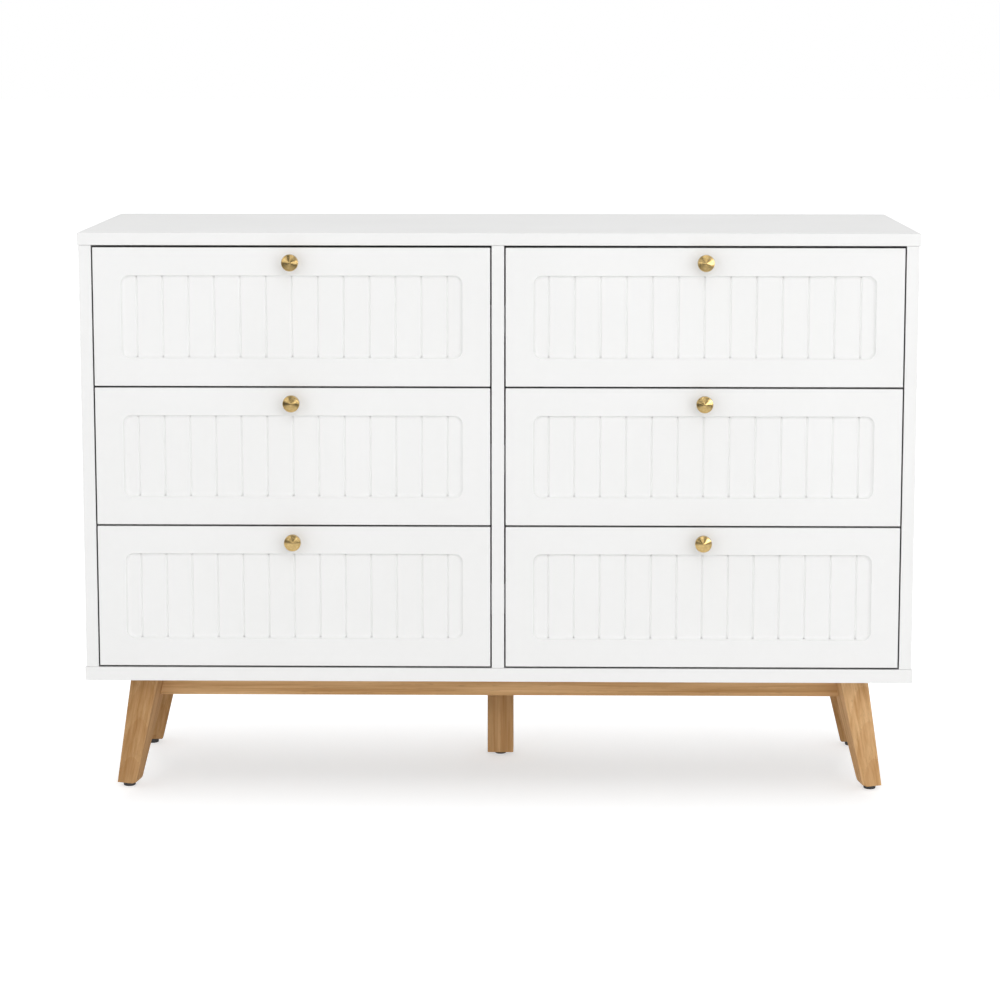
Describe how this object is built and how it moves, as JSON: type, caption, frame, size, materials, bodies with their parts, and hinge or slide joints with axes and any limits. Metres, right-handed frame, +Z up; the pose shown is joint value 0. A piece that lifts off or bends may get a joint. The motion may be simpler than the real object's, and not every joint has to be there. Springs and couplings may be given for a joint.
{
  "type": "dresser with drawers",
  "caption": "Low white dresser with grooved, recessed drawer fronts, round brass knobs and a wooden base on splayed, tapered legs.",
  "frame": {"origin": "on the floor, under the middle of the overall box, knobs included", "axes": "+X to the right along the dresser's width, +Y to its back, +Z up; the drawers open along -Y"},
  "size_m": [1.2, 0.425, 0.832],
  "materials": {
    "white_lacquer": "white satin lacquer on fibreboard",
    "white_board": "white foil on hardboard",
    "oak": "oiled solid wood, visible grain",
    "drawer_wood": "clear lacquered birch plywood",
    "drawer_floor_board": "pale foil on fibreboard",
    "beech": "raw fluted dowel wood",
    "brass": "turned and brushed, clear lacquered",
    "zinc_steel": "bright zinc plated",
    "black_plastic": "matt"
  },
  "bodies": {
    "case": {"top_panel": "white_lacquer", "bottom_panel": "white_lacquer", "left_side_panel": "white_lacquer", "right_side_panel": "white_lacquer", "centre_divider": "white_lacquer", "back_panel": "white_board", "cabinet_runners": "zinc_steel", "front_rail": "oak", "rear_rail": "oak", "cross_rails": "oak", "front_left_leg": "oak", "front_right_leg": "oak", "rear_left_leg": "oak", "rear_right_leg": "oak", "centre_leg": "oak", "foot_glides": "black_plastic", "dowels": "beech", "screws": "zinc_steel"},
    "lower_left_drawer": {"lower_left_drawer_front": "white_lacquer", "lower_left_drawer_sides": "drawer_wood", "lower_left_drawer_back": "drawer_wood", "lower_left_drawer_floor": "drawer_floor_board", "lower_left_knob": "brass", "lower_left_drawer_runners": "zinc_steel"},
    "lower_left_runner": {"lower_left_middle_runners": "zinc_steel"},
    "middle_left_drawer": {"middle_left_drawer_front": "white_lacquer", "middle_left_drawer_sides": "drawer_wood", "middle_left_drawer_back": "drawer_wood", "middle_left_drawer_floor": "drawer_floor_board", "middle_left_knob": "brass", "middle_left_drawer_runners": "zinc_steel"},
    "middle_left_runner": {"middle_left_middle_runners": "zinc_steel"},
    "upper_left_drawer": {"upper_left_drawer_front": "white_lacquer", "upper_left_drawer_sides": "drawer_wood", "upper_left_drawer_back": "drawer_wood", "upper_left_drawer_floor": "drawer_floor_board", "upper_left_knob": "brass", "upper_left_drawer_runners": "zinc_steel"},
    "upper_left_runner": {"upper_left_middle_runners": "zinc_steel"},
    "lower_right_drawer": {"lower_right_drawer_front": "white_lacquer", "lower_right_drawer_sides": "drawer_wood", "lower_right_drawer_back": "drawer_wood", "lower_right_drawer_floor": "drawer_floor_board", "lower_right_knob": "brass", "lower_right_drawer_runners": "zinc_steel"},
    "lower_right_runner": {"lower_right_middle_runners": "zinc_steel"},
    "middle_right_drawer": {"middle_right_drawer_front": "white_lacquer", "middle_right_drawer_sides": "drawer_wood", "middle_right_drawer_back": "drawer_wood", "middle_right_drawer_floor": "drawer_floor_board", "middle_right_knob": "brass", "middle_right_drawer_runners": "zinc_steel"},
    "middle_right_runner": {"middle_right_middle_runners": "zinc_steel"},
    "upper_right_drawer": {"upper_right_drawer_front": "white_lacquer", "upper_right_drawer_sides": "drawer_wood", "upper_right_drawer_back": "drawer_wood", "upper_right_drawer_floor": "drawer_floor_board", "upper_right_knob": "brass", "upper_right_drawer_runners": "zinc_steel"},
    "upper_right_runner": {"upper_right_middle_runners": "zinc_steel"}
  },
  "joints": [
    {"name": "lower_left_drawer_slide", "type": "slide", "parent": "case", "child": "lower_left_drawer", "axis": [0, -1, 0], "range_m": [0, 0.33]},
    {"name": "lower_left_runner_slide", "type": "slide", "parent": "case", "child": "lower_left_runner", "axis": [0, -1, 0], "range_m": [0, 0.165]},
    {"name": "middle_left_drawer_slide", "type": "slide", "parent": "case", "child": "middle_left_drawer", "axis": [0, -1, 0], "range_m": [0, 0.33]},
    {"name": "middle_left_runner_slide", "type": "slide", "parent": "case", "child": "middle_left_runner", "axis": [0, -1, 0], "range_m": [0, 0.165]},
    {"name": "upper_left_drawer_slide", "type": "slide", "parent": "case", "child": "upper_left_drawer", "axis": [0, -1, 0], "range_m": [0, 0.33]},
    {"name": "upper_left_runner_slide", "type": "slide", "parent": "case", "child": "upper_left_runner", "axis": [0, -1, 0], "range_m": [0, 0.165]},
    {"name": "lower_right_drawer_slide", "type": "slide", "parent": "case", "child": "lower_right_drawer", "axis": [0, -1, 0], "range_m": [0, 0.33]},
    {"name": "lower_right_runner_slide", "type": "slide", "parent": "case", "child": "lower_right_runner", "axis": [0, -1, 0], "range_m": [0, 0.165]},
    {"name": "middle_right_drawer_slide", "type": "slide", "parent": "case", "child": "middle_right_drawer", "axis": [0, -1, 0], "range_m": [0, 0.33]},
    {"name": "middle_right_runner_slide", "type": "slide", "parent": "case", "child": "middle_right_runner", "axis": [0, -1, 0], "range_m": [0, 0.165]},
    {"name": "upper_right_drawer_slide", "type": "slide", "parent": "case", "child": "upper_right_drawer", "axis": [0, -1, 0], "range_m": [0, 0.33]},
    {"name": "upper_right_runner_slide", "type": "slide", "parent": "case", "child": "upper_right_runner", "axis": [0, -1, 0], "range_m": [0, 0.165]}
  ],
  "couplings": [
    {"joint": "lower_left_runner_slide", "follows": "lower_left_drawer_slide", "ratio": 0.5},
    {"joint": "middle_left_runner_slide", "follows": "middle_left_drawer_slide", "ratio": 0.5},
    {"joint": "upper_left_runner_slide", "follows": "upper_left_drawer_slide", "ratio": 0.5},
    {"joint": "lower_right_runner_slide", "follows": "lower_right_drawer_slide", "ratio": 0.5},
    {"joint": "middle_right_runner_slide", "follows": "middle_right_drawer_slide", "ratio": 0.5},
    {"joint": "upper_right_runner_slide", "follows": "upper_right_drawer_slide", "ratio": 0.5}
  ]
}
